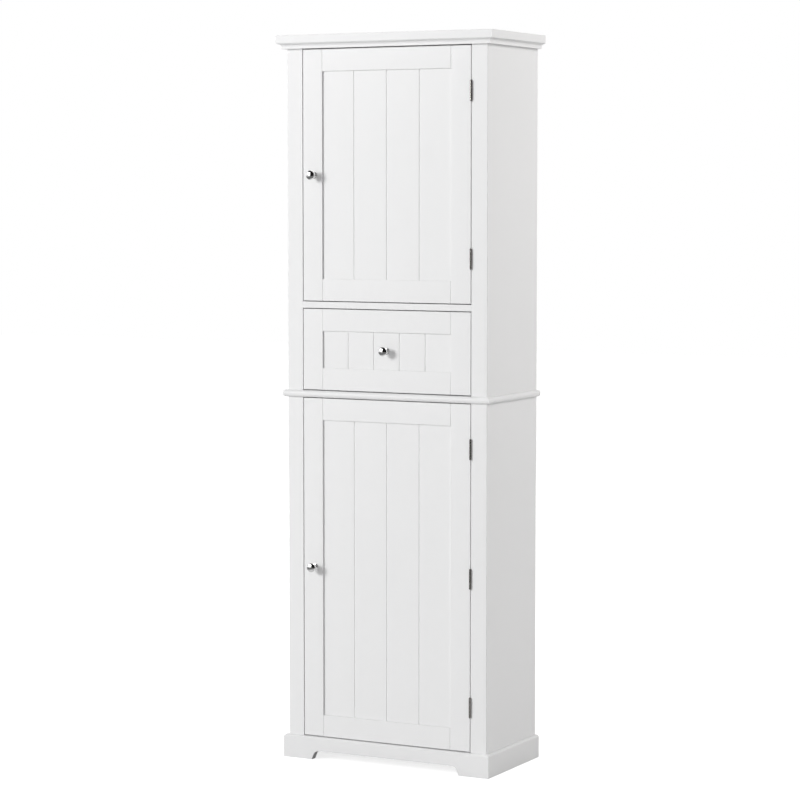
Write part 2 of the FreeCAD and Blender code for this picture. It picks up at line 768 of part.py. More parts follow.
def hinge_pin(name, centre_z):
    low = f"({centre_z} - leaf_height / 2)"
    high = f"({centre_z} + leaf_height / 2)"
    shaft = barrel_part(name + "_shaft", low, "pin_radius", "leaf_height")
    tips = []
    for end, z, turn in (("low", low, Rotation(Vector(1, 0, 0), 180)), ("high", high, UPRIGHT)):
        tip = doc.addObject("Part::Cone", f"{name}_tip_{end}")
        bind(tip, "Radius1", "pin_tip_radius")
        bind(tip, "Radius2", "pin_tip_radius / 2")
        bind(tip, "Height", "pin_tip_height")
        place(tip, HINGE_X, HINGE_Y, z, turn)
        tips.append(tip)
    return fuse(name, [shaft] + tips)


def hinges():
    lower_top = f"({LOWER_DOOR_Z} + lower_door_height)"
    upper_top = f"({UPPER_DOOR_Z} + upper_door_height)"
    heights = {
        "upper_door": (f"({UPPER_DOOR_Z} + upper_hinge_inset)", f"({upper_top} - upper_hinge_inset)"),
        "lower_door": (f"({LOWER_DOOR_Z} + lower_hinge_inset)", f"({LOWER_DOOR_Z} + lower_door_height / 2)",
                       f"({lower_top} - lower_hinge_inset)"),
    }
    frame_knuckles = range(0, KNUCKLE_COUNT, 2)
    door_knuckles = range(1, KNUCKLE_COUNT, 2)
    frame_leaves = []
    pins = []
    for door, centres in heights.items():
        door_leaves = []
        for i, centre_z in enumerate(centres):
            name = f"{door}_hinge_{i}"
            frame_leaves.append(hinge_leaf(name + "_frame", centre_z, f"{POST_IN_RIGHT} - {LEAF_THICKNESS}",
                                           frame_knuckles))
            door_leaves.append(hinge_leaf(name + "_door", centre_z, f"{POST_IN_RIGHT} - face_reveal",
                                          door_knuckles))
            pins.append(hinge_pin(name + "_pin", centre_z))
        finish(group(door + "_leaf_set", door_leaves), door + "_hinge_leaves")
    finish(group("frame_leaf_set", frame_leaves), "hinge_frame_leaves")
    finish(group("hinge_pin_set", pins), "hinge_pins")


# Drawer box on ball runners

BOX_LENGTH = f"({PANEL_FRONT} - {DOOR_BACK} - drawer_back_clearance)"
RUNNER_Y = f"({DOOR_BACK} + runner_setback)"
RUNNER_LENGTH = f"({BOX_LENGTH} - runner_setback - runner_end_clearance)"
RUNNER_Z = f"({DRAWER_Z} + drawer_lift + runner_rise)"
BOX_LEFT = f"({POST_IN_LEFT} + runner_width)"
BOX_RIGHT = f"({POST_IN_RIGHT} - runner_width)"
BOX_Z = f"({DRAWER_Z} + drawer_lift)"
BALL_SPACE = "((runner_height - rail_height) / 2 - runner_metal)"
BALL_RADIUS = f"({BALL_SPACE} / 2 - ball_clearance)"
BALL_RISE = f"(rail_height / 2 + {BALL_SPACE} / 2)"
BALL_X = f"(runner_metal + cage_gap + cage_metal + ball_pocket_clearance + {BALL_RADIUS})"
CAGE_Y = f"({RUNNER_Y} + ({RUNNER_LENGTH} - cage_length) / 2)"
CAGE_HEIGHT = f"(2 * {BALL_RISE} + cage_metal)"
CAGE_DEPTH = "(runner_mouth - 2 * runner_metal - 2 * cage_gap)"
FIRST_BALL = f"((cage_length - ({BALL_COUNT} - 1) * ball_pitch) / 2)"


def channel(name, height, depth, metal, lip, length):
    """A C-shaped strip along +Y, its web on the plane x = 0 and its mouth towards +X."""
    inner = f"({height} - {metal})"
    if lip is None:
        points = (("0", "0"), (depth, "0"), (depth, metal), (metal, metal), (metal, inner),
                  (depth, inner), (depth, height), ("0", height))
    else:
        throat = f"({depth} - {metal})"
        upper_lip = f"({height} - {lip})"
        points = (("0", "0"), (depth, "0"), (depth, lip), (throat, lip), (throat, metal),
                  (metal, metal), (metal, inner), (throat, inner), (throat, upper_lip),
                  (depth, upper_lip), (depth, height), ("0", height))
    body = new_body(name)
    sketch = new_sketch(body, name + "_section", "XZ_Plane")
    draw_outline(sketch, points)
    pad(body, sketch, length, reverse=True)
    return body


def place_pair(make, x_left, x_right, y, z, length, turned_first):
    """Makes a strip twice: facing into the cabinet on one side and, turned round, on the other."""
    pair = []
    for side, x in (("left", x_left), ("right", x_right)):
        thing = make(side)
        turned = (side == "left") == turned_first
        if turned:
            place(thing, x, f"{y} + {length}", z, HALF_TURN)
        else:
            place(thing, x, y, z)
        pair.append(thing)
    return pair


def cage(side):
    """A thin strip that keeps two rows of balls apart between the channel and the rail."""
    body = channel("runner_cage_" + side, CAGE_HEIGHT, CAGE_DEPTH, "cage_metal", None, "cage_length")
    sketch = new_sketch(body, f"runner_cage_{side}_pockets", "XY_Plane")
    draw_circle(sketch, f"{BALL_X} - runner_metal - cage_gap", FIRST_BALL,
                f"{BALL_RADIUS} + ball_pocket_clearance")
    hole = pocket(body, sketch, reverse=True)
    repeat(body, hole, "V_Axis", BALL_COUNT, "ball_pitch")
    return body


def runners():
    half = "runner_height / 2"
    finish(group("runner_channel_pair", place_pair(
        lambda side: channel("runner_channel_" + side, "runner_height", "runner_mouth", "runner_metal",
                             "runner_lip", RUNNER_LENGTH),
        POST_IN_LEFT, POST_IN_RIGHT, RUNNER_Y, f"{RUNNER_Z} - {half}", RUNNER_LENGTH, False)),
        "runner_channels")
    finish(group("runner_rail_pair", place_pair(
        lambda side: channel("runner_rail_" + side, "rail_height", "rail_depth", "runner_metal", None,
                             RUNNER_LENGTH),
        BOX_LEFT, BOX_RIGHT, RUNNER_Y, f"{RUNNER_Z} - rail_height / 2", RUNNER_LENGTH, True)),
        "runner_rails")
    step = "(runner_metal + cage_gap)"
    finish(group("runner_cage_pair", place_pair(
        cage, f"{POST_IN_LEFT} + {step}", f"{POST_IN_RIGHT} - {step}", CAGE_Y,
        f"{RUNNER_Z} - {CAGE_HEIGHT} / 2", "cage_length", False)), "runner_cages")
    balls = []
    for side, x in (("left", f"{POST_IN_LEFT} + {BALL_X}"), ("right", f"{POST_IN_RIGHT} - {BALL_X}")):
        for row, sign in (("low", "-"), ("high", "+")):
            for i in range(BALL_COUNT):
                y = f"{CAGE_Y} + {FIRST_BALL} + {i} * ball_pitch"
                balls.append(sphere(f"ball_{side}_{row}_{i}", x, y, f"{RUNNER_Z} {sign} {BALL_RISE}",
                                    BALL_RADIUS))
    finish(group("runner_ball_set", balls), "runner_balls")
    blocks = []
    for side, x in (("left", SIDE_IN_LEFT), ("right", POST_IN_RIGHT)):
        blocks.append(box("runner_block_" + side, x, POST_BACK, f"{RUNNER_Z} - runner_block_height / 2",
                          "post_width - side_thickness", f"{PANEL_FRONT} - {POST_BACK}",
                          "runner_block_height"))
    finish(group("runner_block_pair", blocks), "runner_blocks")


def drawer_box():
    bottom_z = f"({BOX_Z} + drawer_bottom_rise)"
    groove_x = {"left": f"{BOX_LEFT} + drawer_side_thickness - drawer_groove_depth",
                "right": f"{BOX_RIGHT} - drawer_side_thickness"}
    for side, x in (("left", BOX_LEFT), ("right", f"{BOX_RIGHT} - drawer_side_thickness")):
        name = "drawer_side_" + side
        blank = box(name + "_blank", x, DOOR_BACK, BOX_Z, "drawer_side_thickness", BOX_LENGTH,
                    "drawer_side_height")
        groove = box(name + "_groove", groove_x[side], DOOR_BACK, bottom_z, "drawer_groove_depth",
                     BOX_LENGTH, "drawer_bottom_thickness")
        finish(cut(name + "_cut", blank, [groove]), name)
    inner = f"({BOX_RIGHT} - {BOX_LEFT} - 2 * drawer_side_thickness)"
    hidden = "(drawer_groove_depth - groove_clearance)"
    finish(box("drawer_bottom_board", f"{BOX_LEFT} + drawer_side_thickness - {hidden}", DOOR_BACK, bottom_z,
               f"{inner} + 2 * {hidden}", BOX_LENGTH, "drawer_bottom_thickness"), "drawer_bottom")
    finish(box("drawer_back_board", f"{BOX_LEFT} + drawer_side_thickness",
               f"{DOOR_BACK} + {BOX_LENGTH} - drawer_side_thickness",
               f"{bottom_z} + drawer_bottom_thickness", inner, "drawer_side_thickness",
               "drawer_side_height - drawer_bottom_rise - drawer_bottom_thickness"), "drawer_back")


# Small fittings

def catches():
    """Magnetic catches inside each opening, and the steel strike plates on the doors' backs."""
    x = f"({POST_IN_LEFT} + catch_inset)"
    strike_x = f"({x} + (catch_width - strike_width) / 2)"
    bodies = []
    for door, ceiling, door_top in (
            ("upper_door", TOP_PANEL_Z, f"{UPPER_DOOR_Z} + upper_door_height"),
            ("lower_door", WAIST_Z, f"{LOWER_DOOR_Z} + lower_door_height")):
        bodies.append(box(door + "_catch", x, f"{DOOR_BACK} + strike_thickness + catch_clearance",
                          f"{ceiling} - catch_height", "catch_width", "catch_depth", "catch_height"))
        finish(box(door + "_strike", strike_x, DOOR_BACK, f"{door_top} - strike_height", "strike_width",
                   "strike_thickness", "strike_height"), door + "_strike_plate")
    finish(group("catch_pair", bodies), "magnetic_catches")


def cams():
    """The round cam locks in the side panels, near the boards that they pull tight."""
    discs = []
    for side, x in (("left", f"{SIDE_IN_LEFT} - cam_depth"), ("right", SIDE_IN_RIGHT)):
        for level, low, high in (("lower", "base_height", WAIST_Z), ("upper", WAIST_TOP, CROWN_Z)):
            for end, z in (("low", f"{low} + cam_inset"), ("high", f"{high} - cam_inset")):
                for row, y in (("front", f"{POST_BACK} + pin_row_inset"),
                               ("rear", f"{PANEL_FRONT} - pin_row_inset")):
                    discs.append(cylinder(f"cam_{side}_{level}_{end}_{row}", x, y, z, "cam_radius",
                                          "cam_depth", ALONG_X))
    finish(group("cam_set", discs), "cam_locks")


def wall_bracket():
    """A steel angle under the top panel, with the hole for the screw that stops the cabinet tipping."""
    upright = box("bracket_upright", "-bracket_width / 2", f"{PANEL_FRONT} - bracket_metal",
                  f"{TOP_PANEL_Z} - bracket_leg", "bracket_width", "bracket_metal", "bracket_leg")
    flat = box("bracket_flat", "-bracket_width / 2", f"{PANEL_FRONT} - bracket_leg",
               f"{TOP_PANEL_Z} - bracket_metal", "bracket_width", "bracket_leg", "bracket_metal")
    finish(cut("bracket_bored", fuse("bracket_blank", [upright, flat]), [wall_screw_hole("bracket_hole")]),
           "wall_bracket")


def fronts():
    framed_front("lower_door", LOWER_DOOR_Z, "lower_door_height", "door_bead_pitch", DOOR_BEAD_COUNT,
                 "lower_knob_rise")
    framed_front("drawer_front", DRAWER_Z, "drawer_front_height", "drawer_bead_pitch",
                 DRAWER_BEAD_COUNT, None)
    framed_front("upper_door", UPPER_DOOR_Z, "upper_door_height", "door_bead_pitch", DOOR_BEAD_COUNT,
                 "upper_knob_rise")
    knob("lower_door_knob", KNOB_X, FACE, f"({LOWER_DOOR_Z} + lower_knob_rise)", "door_thickness")
    knob("upper_door_knob", KNOB_X, FACE, f"({UPPER_DOOR_Z} + upper_knob_rise)", "door_thickness")
    knob("drawer_knob", "0", f"({FACE} + panel_recess)", f"({DRAWER_Z} + {DRAWER_KNOB_RISE})",
         "panel_thickness")


carcass()
shelves()
fronts()
hinges()
runners()
drawer_box()
catches()
cams()
wall_bracket()
doc.recompute()

for thing in doc.Objects:
    if "Invalid" in thing.State or "Error" in thing.State:
        raise RuntimeError(f"{thing.Name} failed: {thing.State}")
for thing in pieces:
    if thing.Shape.isNull() or not thing.Shape.isValid():
        raise RuntimeError(f"{thing.Label} has no valid shape")

os.makedirs("parts", exist_ok=True)
for thing in pieces:
    thing.Shape.exportStep(f"parts/{thing.Label}.step")
print(len(pieces), "pieces")
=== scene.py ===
import json
import math

import bmesh
import bpy
from mathutils import Matrix, Vector


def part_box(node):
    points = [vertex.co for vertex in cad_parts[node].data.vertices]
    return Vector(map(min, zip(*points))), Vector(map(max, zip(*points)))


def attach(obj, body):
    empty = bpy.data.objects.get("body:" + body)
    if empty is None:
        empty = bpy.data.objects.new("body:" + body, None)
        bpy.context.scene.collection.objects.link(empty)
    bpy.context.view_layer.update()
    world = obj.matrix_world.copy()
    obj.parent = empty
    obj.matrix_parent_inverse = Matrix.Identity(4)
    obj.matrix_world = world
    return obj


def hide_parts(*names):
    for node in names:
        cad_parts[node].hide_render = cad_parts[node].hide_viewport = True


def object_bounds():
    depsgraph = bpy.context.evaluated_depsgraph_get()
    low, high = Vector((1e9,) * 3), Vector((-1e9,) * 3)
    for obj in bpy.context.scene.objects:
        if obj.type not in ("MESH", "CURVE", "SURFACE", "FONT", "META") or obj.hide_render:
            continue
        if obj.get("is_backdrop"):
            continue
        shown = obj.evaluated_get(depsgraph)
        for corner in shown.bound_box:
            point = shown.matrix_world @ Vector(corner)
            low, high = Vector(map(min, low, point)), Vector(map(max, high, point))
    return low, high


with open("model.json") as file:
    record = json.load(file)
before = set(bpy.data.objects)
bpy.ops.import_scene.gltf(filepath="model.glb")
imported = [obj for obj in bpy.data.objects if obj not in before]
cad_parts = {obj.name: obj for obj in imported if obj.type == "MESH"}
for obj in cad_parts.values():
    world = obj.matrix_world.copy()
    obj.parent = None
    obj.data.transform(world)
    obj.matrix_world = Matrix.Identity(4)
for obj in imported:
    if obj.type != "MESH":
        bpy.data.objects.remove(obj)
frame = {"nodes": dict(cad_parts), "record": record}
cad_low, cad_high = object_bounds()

# The looks of a tall, painted bathroom cabinet with an upper door, a drawer and a lower door.
# Lengths are in metres, in the cabinet's own frame: +X the viewer's right, +Y the wall, +Z up.

nodes = frame["nodes"]
MM = 0.001
WELD_REACH = 0.005 * MM
DOORS = ("upper_door", "lower_door")


# ---------------------------------------------------------------- shader tools

class Wire:
    """A value in a finish, with the arithmetic that adds Math nodes."""

    def __init__(self, finish, socket):
        self.finish = finish
        self.socket = socket

    def calculate(self, operation, other):
        return self.finish.add("Math", {"operation": operation}, {0: self, 1: other})

    def __add__(self, other):
        return self.calculate("ADD", other)

    def __mul__(self, other):
        return self.calculate("MULTIPLY", other)

    __radd__ = __add__
    __rmul__ = __mul__


class Finish:
    """The nodes of a material or of the world, and the one method that adds any node to them."""

    def __init__(self, owner):
        owner.use_nodes = True
        self.owner = owner
        self.tree = owner.node_tree
        self.tree.nodes.clear()

    def add(self, kind, settings=None, values=None, out=0):
        node = self.tree.nodes.new("ShaderNode" + kind)
        for name, setting in (settings or {}).items():
            if name == "stops":
                set_stops(node.color_ramp, setting)
            else:
                setattr(node, name, setting)
        for key, value in (values or {}).items():
            if isinstance(value, Wire):
                self.tree.links.new(value.socket, node.inputs[key])
            else:
                node.inputs[key].default_value = value
        return Wire(self, node.outputs[out]) if node.outputs else node

    def place(self):
        """Where a point lies on the cabinet at rest."""
        return self.add("TexCoord", out="Object")

    def noise(self, scale, detail=2.0, roughness=0.5, stretch=None):
        """Smooth noise from 0 to 1, with its lumps about 1 / scale metres apart."""
        where = self.place()
        if stretch is not None:
            where = self.add("Mapping", None, {"Vector": where, "Scale": stretch})
        return self.add("TexNoise", None, {"Vector": where, "Scale": scale, "Detail": detail,
                                           "Roughness": roughness})

    def blend(self, share, first, second):
        """A colour between two others."""
        return self.add("Mix", {"data_type": "RGBA"}, {0: share, 6: first, 7: second}, out=2)

    def ramp(self, share, stops):
        """A share read through a ramp's stops."""
        return self.add("ValToRGB", {"stops": stops}, {0: share})

    def relief(self, height, depth):
        """A surface normal from a height between 0 and 1 that stands for a depth in metres."""
        return self.add("Bump", None, {"Strength": 1.0, "Distance": depth, "Height": height})

    def surface(self, **values):
        """Ends a material in its shader, with _ for each space in a socket's name."""
        shader = self.add("BsdfPrincipled", None, {key.replace("_", " "): value
                                                   for key, value in values.items()})
        self.add("OutputMaterial", None, {"Surface": shader})
        return self.owner


def new_finish(name):
    """A material with no nodes in it yet."""
    return Finish(bpy.data.materials.new(name))


def set_stops(ramp, stops):
    """Sets a ramp's stops, given as (position, grey)."""
    while len(ramp.elements) < len(stops):
        ramp.elements.new(1.0)
    for element, (position, shade) in zip(ramp.elements, stops):
        element.position = position
        element.color = grey(shade)


def grey(value, warmth=0.0):
    """A near-grey colour, a little warmer or cooler."""
    return (value * (1 + warmth), value, value * (1 - warmth), 1.0)


# ---------------------------------------------------------------- finishes

def sprayed_paint():
    """Satin white paint sprayed over fibreboard: fine orange peel, slow clouds, small flecks."""
    finish = new_finish("sprayed_paint")
    clouds = finish.noise(scale=3.0, detail=3.0)
    film = finish.noise(scale=45.0, detail=3.0)
    peel = finish.noise(scale=650.0, detail=1.5)
    sags = finish.noise(scale=28.0, detail=1.0, stretch=(1.0, 1.0, 0.35))
    cells = finish.add("TexVoronoi", None, {"Vector": finish.place(), "Scale": 85.0})
    flecks = finish.ramp(cells, ((0.0, 1.0), (0.035, 1.0), (0.06, 0.0)))
    return finish.surface(
        Base_Color=finish.blend(clouds * 0.75 + film * 0.25, grey(0.82), grey(0.85)),
        Roughness=0.38 + film * 0.10 + peel * 0.03,
        Normal=finish.relief(peel * 0.55 + sags * 0.30 + flecks * 0.15, depth=0.06 * MM),
        Coat_Weight=0.06, Coat_Roughness=0.24, Specular_IOR_Level=0.22)


def inside_laminate():
    """White laminate on the drawer box and runner blocks: a pressed grain that runs along Y."""
    finish = new_finish("inside_laminate")
    grain = finish.noise(scale=130.0, detail=5.0, roughness=0.6, stretch=(1.0, 0.06, 1.0))
    pearl = finish.noise(scale=1400.0, detail=1.0)
    clouds = finish.noise(scale=6.0)
    return finish.surface(
        Base_Color=finish.blend(clouds * 0.5 + grain * 0.5, grey(0.77, 0.004), grey(0.81, 0.002)),
        Roughness=0.42 + grain * 0.14,
        Normal=finish.relief(grain * 0.7 + pearl * 0.3, depth=0.05 * MM),
        Specular_IOR_Level=0.4)


def coated_hardboard():
    """Thin hardboard with a matt white coat that lets its fibres show."""
    finish = new_finish("coated_hardboard")
    fibre = finish.noise(scale=420.0, detail=4.0, roughness=0.7)
    felt = finish.noise(scale=70.0, detail=3.0)
    clouds = finish.noise(scale=4.0)
    tone = clouds * 0.4 + felt * 0.3 + fibre * 0.3
    return finish.surface(
        Base_Color=finish.blend(tone, grey(0.74, 0.012), grey(0.80, 0.006)),
        Roughness=0.56 + felt * 0.14,
        Normal=finish.relief(fibre * 0.6 + felt * 0.4, depth=0.08 * MM),
        Specular_IOR_Level=0.35)


def metal(name, dark, light, roughness, spread, scratch, warmth=0.0):
    """A plated metal with faint clouds, handling marks and fine scratches."""
    finish = new_finish(name)
    clouds = finish.noise(scale=60.0, detail=3.0)
    marks = finish.noise(scale=350.0, detail=4.0, roughness=0.65)
    lines = finish.noise(scale=900.0, detail=3.0, stretch=(1.0, 1.0, 0.08))
    tone = clouds * 0.6 + marks * 0.4
    return finish.surface(
        Base_Color=finish.blend(tone, grey(dark, warmth), grey(light, warmth)),
        Metallic=1.0,
        Roughness=roughness + marks * spread,
        Normal=finish.relief(lines * 0.7 + marks * 0.3, scratch))


def zinc_plate():
    """Bright zinc plate with its pale crystals."""
    finish = new_finish("zinc_plate")
    crystals = finish.add("TexVoronoi", None, {"Vector": finish.place(), "Scale": 260.0},
                          out="Color")
    tone = finish.add("RGBToBW", None, {0: crystals})
    marks = finish.noise(scale=500.0, detail=3.0)
    return finish.surface(
        Base_Color=finish.blend(tone * 0.7 + marks * 0.3, grey(0.52, -0.012), grey(0.68, -0.02)),
        Metallic=1.0,
        Roughness=0.26 + tone * 0.10 + marks * 0.08,
        Normal=finish.relief(marks, depth=0.01 * MM))


def moulded_plastic():
    """Matt white moulded plastic with a spark-eroded skin."""
    finish = new_finish("moulded_plastic")
    skin = finish.noise(scale=1600.0, detail=2.0)
    flow = finish.noise(scale=90.0, detail=2.0, stretch=(0.3, 1.0, 1.0))
    return finish.surface(
        Base_Color=finish.blend(flow, grey(0.74, 0.01), grey(0.80, 0.01)),
        Roughness=0.44 + skin * 0.12,
        Normal=finish.relief(skin * 0.7 + flow * 0.3, depth=0.02 * MM))


FINISHES = {
    "painted_white": sprayed_paint(),
    "white_melamine": inside_laminate(),
    "back_board": coated_hardboard(),
    "polished_chrome": metal("polished_chrome", dark=0.84, light=0.90, roughness=0.03,
                             spread=0.03, scratch=0.002 * MM),
    "brushed_nickel": metal("brushed_nickel", dark=0.24, light=0.33, roughness=0.20,
                            spread=0.12, scratch=0.01 * MM, warmth=0.05),
    "zinc_steel": zinc_plate(),
    "white_plastic": moulded_plastic(),
}


# ---------------------------------------------------------------- mesh tools

def new_piece(name, mesh, slot, body, *replaced):
    """Puts a finished mesh in the scene, riding on a body, in its slot's finish."""
    mesh.name = name
    thing = bpy.data.objects.new(name, mesh)
    bpy.context.scene.collection.objects.link(thing)
    mesh.materials.clear()
    mesh.materials.append(FINISHES[slot])
    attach(thing, body)
    if replaced:
        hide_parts(*replaced)
    return thing


def in_mm(*points):
    """Points in metres from points in millimetres."""
    return [tuple(part * MM for part in point) for point in points]


def to_mesh(form):
    """Turns a finished bmesh into a mesh with its faces looking outwards."""
    bmesh.ops.recalc_face_normals(form, faces=form.faces)
    mesh = bpy.data.meshes.new("made")
    form.to_mesh(mesh)
    form.free()
    return mesh


def smooth(mesh, angle=30):
    """Shades a mesh smoothly, and keeps edges sharper than an angle."""
    form = bmesh.new()
    form.from_mesh(mesh)
    for face in form.faces:
        face.smooth = True
    for edge in form.edges:
        edge.smooth = (len(edge.link_faces) == 2
                       and edge.calc_face_angle() < math.radians(angle))
    form.to_mesh(mesh)
    form.free()
    return mesh


def lathe(profile, sides=48):
    """A closed solid turned about +Z from (radius, height) points, from axis to axis."""
    form = bmesh.new()
    rings = []
    for radius, height in profile:
        if radius == 0:
            rings.append([form.verts.new((0, 0, height))])
            continue
        rings.append([form.verts.new((radius * math.cos(turn), radius * math.sin(turn), height))
                      for turn in (2 * math.pi * side / sides for side in range(sides))])
    for low, high in zip(rings, rings[1:]):
        for side in range(sides):
            after = (side + 1) % sides
            corners = [low[0]] if len(low) == 1 else [low[side], low[after]]
            corners += [high[0]] if len(high) == 1 else [high[after], high[side]]
            form.faces.new(corners)
    return smooth(to_mesh(form))


def oval(radius, half_height, middle, start, end, steps):
    """Points (radius, height) of an oval about the axis, from one angle below it to another."""
    turns = [math.radians(start + (end - start) * i / steps) for i in range(steps + 1)]
    return [(radius * math.sin(turn), middle - half_height * math.cos(turn)) for turn in turns]


def block(low, high, round_off=0.0, segments=2):
    """A block between two corners, with its edges rounded."""
    form = bmesh.new()
    bmesh.ops.create_cube(form, size=1.0)
    middle, size = (Vector(low) + Vector(high)) / 2, Vector(high) - Vector(low)
    for vertex in form.verts:
        vertex.co = Vector(part * whole for part, whole in zip(vertex.co, size)) + middle
    if round_off:
        bmesh.ops.bevel(form, geom=form.edges, offset=round_off, segments=segments, profile=0.5,
                        affect="EDGES", clamp_overlap=True)
    return smooth(to_mesh(form))


def assemble(parts):
    """One mesh from (mesh, placement) pairs."""
    form = bmesh.new()
    for mesh, place in parts:
        start = len(form.verts)
        form.from_mesh(mesh)
        form.verts.ensure_lookup_table()
        for vertex in form.verts[start:]:
            vertex.co = place @ vertex.co
    mesh = bpy.data.meshes.new("assembled")
    form.to_mesh(mesh)
    form.free()
    return mesh


def copies(template, places):
    """One mesh that holds a copy of a template at each placement."""
    return assemble([(template, place) for place in places])


def facing(point, direction, turn=0.0):
    """A placement at a point whose +Z looks along a direction, turned about it in degrees."""
    look = Vector(direction).to_track_quat("Z", "Y").to_matrix().to_4x4()
    return Matrix.Translation(point) @ look @ Matrix.Rotation(math.radians(turn), 4, "Z")


def combine(mesh, other, operation="DIFFERENCE"):
    """The mesh with another taken out of it, or joined to it."""
    blank = bpy.data.objects.new("blank", mesh)
    tool = bpy.data.objects.new("tool", other)
    for thing in (blank, tool):
        bpy.context.scene.collection.objects.link(thing)
    step = blank.modifiers.new("cut", "BOOLEAN")
    step.operation = operation
    step.solver = "EXACT"
    step.object = tool
    bpy.context.view_layer.update()
    evaluated = blank.evaluated_get(bpy.context.evaluated_depsgraph_get())
    result = bpy.data.meshes.new_from_object(evaluated)
    for thing in (blank, tool):
        bpy.data.objects.remove(thing)
    return smooth(result)


def ease_edges(thing, width, segments=2, angle=40):
    """Rounds the sharp edges of a board, so that they catch the light."""
    weld = thing.modifiers.new("weld", "WELD")
    weld.merge_threshold = WELD_REACH
    bevel = thing.modifiers.new("eased", "BEVEL")
    bevel.width = width
    bevel.segments = segments
    bevel.limit_method = "ANGLE"
    bevel.angle_limit = math.radians(angle)
    bevel.use_clamp_overlap = True
    normals = thing.modifiers.new("even", "WEIGHTED_NORMAL")
    normals.keep_sharp = False


def solids_in(node):
    """The lowest and highest corners of each separate solid in a node, from the floor up."""
    form = bmesh.new()
    form.from_mesh(nodes[node].data)
    bmesh.ops.remove_doubles(form, verts=form.verts, dist=WELD_REACH)
    waiting = set(form.verts)
    boxes = []
    while waiting:
        island, edge = [], [waiting.pop()]
        while edge:
            vertex = edge.pop()
            island.append(vertex.co.copy())
            fresh = {link.other_vert(vertex) for link in vertex.link_edges} & waiting
            waiting -= fresh
            edge.extend(fresh)
        boxes.append((Vector(map(min, zip(*island))), Vector(map(max, zip(*island)))))
    form.free()
    return sorted(boxes, key=lambda corners: tuple(round(value, 5) for value in corners[0].zyx))


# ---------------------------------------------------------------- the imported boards

FRAME_EASE = 1.2 * MM
BOARD_EASE = 0.4 * MM
METAL_EASE = 0.15 * MM
BOARD_WORDS = ("post", "side", "panel", "board", "shelf", "shelves", "drawer_b")
METAL_WORDS = ("bracket", "channels", "runner_rails", "shelf_pins")

for subpart in frame["record"]["subparts"]:
    slots = nodes[subpart["node"]].data.materials
    slots.clear()
    slots.append(FINISHES[subpart["material_slot"]])

for name, thing in nodes.items():
    if "stile" in name or name.endswith("rails") and "runner" not in name:
        ease_edges(thing, FRAME_EASE)
    elif any(word in name for word in BOARD_WORDS):
        ease_edges(thing, BOARD_EASE)
    elif any(word in name for word in METAL_WORDS):
        ease_edges(thing, METAL_EASE)


# ---------------------------------------------------------------- screws

SCREW_SIDES = 32


def cross(width, length, depth, top=0.0):
    """A cross that tapers downwards from a height, and cuts a driver's recess below it."""
    form = bmesh.new()
    rings = []
    for share, height in ((0.5, top - depth), (1.0, top), (1.0, top + depth)):
        reach, half = length / 2 * share, width / 2 * (0.4 + 0.6 * share)
        corner = [Vector((reach, -half, height)), Vector((reach, half, height)),
                  Vector((half, half, height))]
        rings.append([form.verts.new(Matrix.Rotation(math.pi / 2 * turn, 3, "Z") @ point)
                      for turn in range(4) for point in corner])
    for low, high in zip(rings, rings[1:]):
        for i in range(len(low)):
            after = (i + 1) % len(low)
            form.faces.new((low[i], low[after], high[after], high[i]))
    form.faces.new(rings[0])
    form.faces.new(rings[-1])
    return to_mesh(form)


def flat_screw(radius, depth, length):
    """A countersunk screw, its head's top on z = 0 and its point downwards."""
    shank = radius * 0.48
    tip = shank * 1.6
    profile = [(0, 0), (radius * 0.94, 0), (radius, -radius * 0.08), (shank, -depth),
               (shank, tip - length), (0, -length)]
    recess = cross(radius * 0.26, radius * 1.15, radius * 0.5)
    return combine(lathe(profile, SCREW_SIDES), recess)


def round_screw(radius, height, length):
    """A screw with a domed head that stands on z = 0 and its point downwards."""
    shank = radius * 0.45
    rises = [math.radians(rise) for rise in (72, 54, 36, 18, 0)]
    dome = [(radius * math.cos(rise), height * (0.25 + 0.75 * math.sin(rise))) for rise in rises]
    profile = [(0, height)] + dome + [(radius * 0.96, 0), (shank, 0), (shank, shank - length),
                                      (0, -length)]
    recess = cross(radius * 0.26, radius * 1.05, height * 0.6, height)
    return combine(lathe(profile, SCREW_SIDES), recess)


HINGE_SCREW = flat_screw(radius=1.7 * MM, depth=1.0 * MM, length=14 * MM)
HINGE_SCREW_RISES = ((-14 * MM, 20), (14 * MM, 65))
HINGE_SCREW_SETBACK = 7.5 * MM
LEAF_METAL = 0.9 * MM
SUNK = 0.03 * MM


def hinge_screws(leaf_node, carrier_face, outwards):
    """Two flush screws in each leaf, where they show once the door is open."""
    places = []
    head = carrier_face + outwards * (LEAF_METAL - SUNK)
    for low, high in solids_in(leaf_node):
        for rise, turn in HINGE_SCREW_RISES:
            point = (head, high.y - HINGE_SCREW_SETBACK, (low.z + high.z) / 2 + rise)
            places.append(facing(point, (outwards, 0, 0), turn))
    return copies(HINGE_SCREW, places)


post_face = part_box("upper_post_right")[0].x
new_piece("frame_leaf_screws", hinge_screws("hinge_frame_leaves", post_face, -1),
          "brushed_nickel", "cabinet")
for door in DOORS:
    door_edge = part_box(door + "_hinge_stile")[1].x
    new_piece(door + "_leaf_screws", hinge_screws(door + "_hinge_leaves", door_edge, 1),
              "brushed_nickel", door)


# ---------------------------------------------------------------- knobs

KNOBS = {"upper_door_knob": "upper_door", "lower_door_knob": "lower_door", "drawer_knob": "drawer"}
KNOB_SIDES = 96


